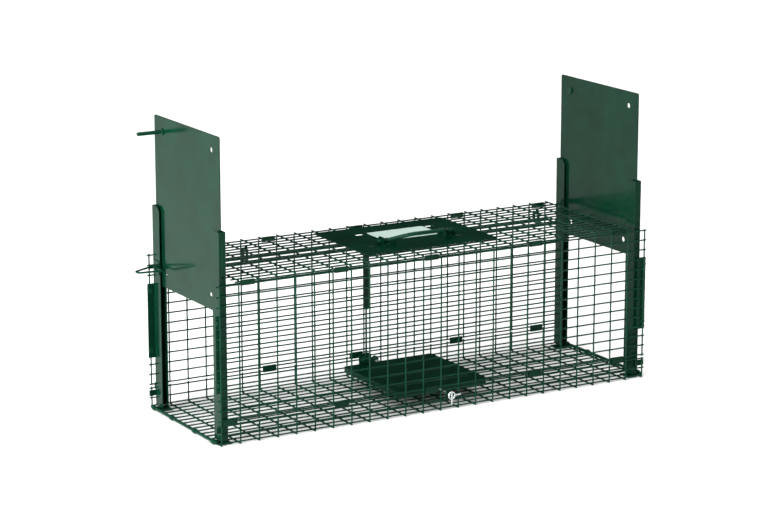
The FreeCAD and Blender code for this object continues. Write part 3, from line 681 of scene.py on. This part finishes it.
class TRAP_OT_carry_handle(Operator):
    """Bends the folding carry handle from wire"""

    bl_idname = "trap.carry_handle"
    bl_label = "Carry handle"

    def execute(self, context):
        low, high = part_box("handle")
        radius = HANDLE_WIRE_R
        pin = (high[0] - low[0]) / MM / 2
        middle = (high[0] + low[0]) / MM / 2
        hinge = (high[1] / MM - radius, low[2] / MM + radius)
        grip = (low[1] / MM + radius, high[2] / MM - radius)
        half = [(pin, hinge), (pin - HANDLE_SHANK, hinge), (HANDLE_GRIP_HALF, grip)]
        route = [(-x, end) for x, end in half] + [(x, end) for x, end in reversed(half)]
        corners = [(middle + x, y, z) for x, (y, z) in route]
        shape = Shape()
        bent_wire(shape, corners, radius, HANDLE_BEND, HANDLE_SIDES)
        shape.finish("bent_handle", "wire", "carry_handle", "coated_wire", ["handle"])
        return {"FINISHED"}


class TRAP_OT_stage(Operator):
    """Lays the floor and sets the lights and the camera"""

    bl_idname = "trap.stage"
    bl_label = "Stage"

    def execute(self, context):
        stage = context.scene.trap_stage
        mesh = bpy.data.meshes.new("floor")
        far = FLOOR_REACH_M
        corners = [(-far, -far, 0), (far, -far, 0), (far, far, 0), (-far, far, 0)]
        mesh.from_pydata(corners, [], [(0, 1, 2, 3)])
        mesh.materials.append(material("floor"))
        floor = bpy.data.objects.new("floor", mesh)
        context.scene.collection.objects.link(floor)
        self.sky(context)
        for light in LIGHTS:
            self.softbox(*light)
        data = bpy.data.cameras.new("camera")
        data.lens = stage.lens_mm
        data.sensor_width = 36.0
        data.clip_end = 200
        camera = bpy.data.objects.new("camera", data)
        context.scene.collection.objects.link(camera)
        camera.location = stage.camera_m
        camera.rotation_euler = (math.pi / 2 - stage.pitch, 0, -stage.yaw)
        context.scene.camera = camera
        context.scene.view_settings.view_transform = "Standard"
        return {"FINISHED"}

    def softbox(self, name, place, aim, size, power):
        data = bpy.data.lights.new(name, "AREA")
        data.shape = "SQUARE"
        data.size = size
        data.energy = power
        lamp = bpy.data.objects.new(name, data)
        bpy.context.scene.collection.objects.link(lamp)
        lamp.location = place
        lamp.rotation_euler = (Vector(aim) - Vector(place)).to_track_quat("-Z", "Y").to_euler()

    def sky(self, context):
        """A wide white ceiling over a dim room, so upright gloss stays deep and the floor stays white."""
        world = bpy.data.worlds.new("studio")
        context.scene.world = world
        world.use_nodes = True
        tree = world.node_tree
        tree.nodes.clear()
        way = add_node(tree, "ShaderNodeTexCoord").outputs["Generated"]
        axes = add_node(tree, "ShaderNodeSeparateXYZ", Vector=way)
        tone = add_node(tree, "ShaderNodeMapRange",
                        {"From_Min": 0.35, "From_Max": 0.9, "To_Min": 0.02, "To_Max": 1.9},
                        Value=axes.outputs["Z"])
        shade = add_node(tree, "ShaderNodeBackground", {"Color": (1, 1, 1, 1)},
                         Strength=tone.outputs["Result"])
        add_node(tree, "ShaderNodeOutputWorld", Surface=shade.outputs["Background"])


OPERATORS = (
    TRAP_OT_wire_panels, TRAP_OT_doors, TRAP_OT_guides, TRAP_OT_end_bars, TRAP_OT_clips,
    TRAP_OT_handle_plate, TRAP_OT_trigger_linkage, TRAP_OT_treadle, TRAP_OT_label, TRAP_OT_latches,
    TRAP_OT_carry_handle, TRAP_OT_stage,
)


class TRAP_PT_panel(Panel):
    """Lists the trap's pieces"""

    bl_idname = "TRAP_PT_panel"
    bl_label = "Live catch trap"
    bl_space_type = "VIEW_3D"
    bl_region_type = "UI"
    bl_category = "Trap"

    def draw(self, context):
        for kind in OPERATORS:
            self.layout.operator(kind.bl_idname)
        for group in (context.scene.trap_finish, context.scene.trap_wire, context.scene.trap_stage):
            for key in group.__annotations__:
                self.layout.prop(group, key)


GROUPS = (("trap_finish", TrapFinish), ("trap_wire", TrapWire), ("trap_stage", TrapStage))


def register():
    for name, group in GROUPS:
        bpy.utils.register_class(group)
        setattr(bpy.types.Scene, name, PointerProperty(type=group))
    for kind in (*OPERATORS, TRAP_PT_panel):
        bpy.utils.register_class(kind)


def unregister():
    for kind in reversed((*OPERATORS, TRAP_PT_panel)):
        bpy.utils.unregister_class(kind)
    for name, group in reversed(GROUPS):
        delattr(bpy.types.Scene, name)
        bpy.utils.unregister_class(group)


def main():
    register()
    for kind in OPERATORS:
        area, action = kind.bl_idname.split(".")
        getattr(getattr(bpy.ops, area), action)()


if __name__ == "__main__":
    main()
